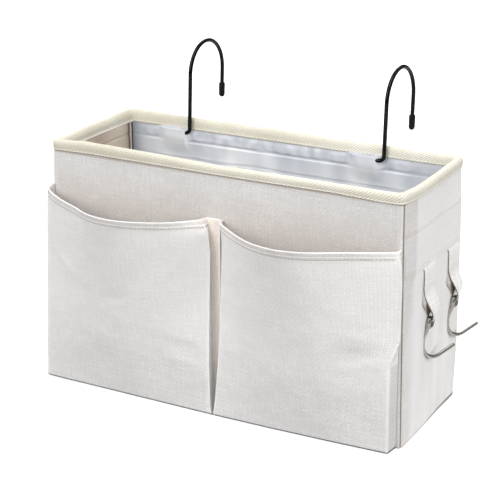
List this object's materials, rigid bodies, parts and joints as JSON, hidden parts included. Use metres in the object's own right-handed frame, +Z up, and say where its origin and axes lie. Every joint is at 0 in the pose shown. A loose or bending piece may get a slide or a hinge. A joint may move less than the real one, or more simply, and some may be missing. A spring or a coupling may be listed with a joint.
{
  "type": "bedside caddy",
  "caption": "Hanging bedside organizer: stiffened canvas box with bound rim, bulging front pockets, a clear window pocket, hook straps and rail hooks that fold into the box.",
  "frame": {"origin": "centre of the base's underside", "axes": "+X to the caddy's right as seen from the front, along its width; +Y from the front pockets to the back; +Z up"},
  "size_m": [0.35, 0.2113, 0.2775],
  "materials": {
    "canvas": "off-white linen-look canvas, plain weave",
    "side_canvas": "off-white linen-look canvas, plain weave",
    "lining": "smooth pale lining cloth",
    "binding": "cream twill tape",
    "board": "grey-brown stiffening board",
    "clear_vinyl": "clear flexible sheet",
    "black_wire": "glossy black coated steel wire",
    "rubber_tip": "black rubber",
    "nickel_wire": "bright nickel-plated wire"
  },
  "bodies": {
    "bag": {"front_canvas": "canvas", "back_canvas": "canvas", "left_canvas": "side_canvas", "right_canvas": "side_canvas", "base_canvas": "canvas", "front_board": "board", "back_board": "board", "left_board": "board", "right_board": "board", "base_board": "board", "front_lining": "lining", "back_lining": "lining", "left_lining": "lining", "right_lining": "lining", "base_lining": "lining", "rim_binding": "binding", "front_pocket_left": "canvas", "front_pocket_right": "canvas", "pocket_divider": "canvas", "side_pocket_window": "clear_vinyl", "side_pocket_band": "side_canvas", "strap_anchor_band": "side_canvas", "hook_strap_front": "side_canvas", "hook_strap_rear": "side_canvas"},
    "left_rail_hook": {"rail_hook_left": "black_wire", "rail_hook_tip_left": "rubber_tip"},
    "right_rail_hook": {"rail_hook_right": "black_wire", "rail_hook_tip_right": "rubber_tip"},
    "front_side_hook": {"side_hook_front": "nickel_wire"},
    "rear_side_hook": {"side_hook_rear": "nickel_wire"}
  },
  "joints": [
    {"name": "left_rail_hook_fold", "type": "hinge", "parent": "bag", "child": "left_rail_hook", "pos_m": [-0.0915, 0.04884, 0.1988], "axis": [1, 0, 0], "range_deg": [0, 180]},
    {"name": "right_rail_hook_fold", "type": "hinge", "parent": "bag", "child": "right_rail_hook", "pos_m": [0.095, 0.04884, 0.1988], "axis": [1, 0, 0], "range_deg": [0, 180]},
    {"name": "front_side_hook_swing", "type": "hinge", "parent": "bag", "child": "front_side_hook", "pos_m": [0.1655, -0.011, 0.0957], "axis": [0, -1, 0], "range_deg": [0, 80]},
    {"name": "rear_side_hook_swing", "type": "hinge", "parent": "bag", "child": "rear_side_hook", "pos_m": [0.1655, 0.04, 0.0957], "axis": [0, -1, 0], "range_deg": [0, 80]}
  ]
}
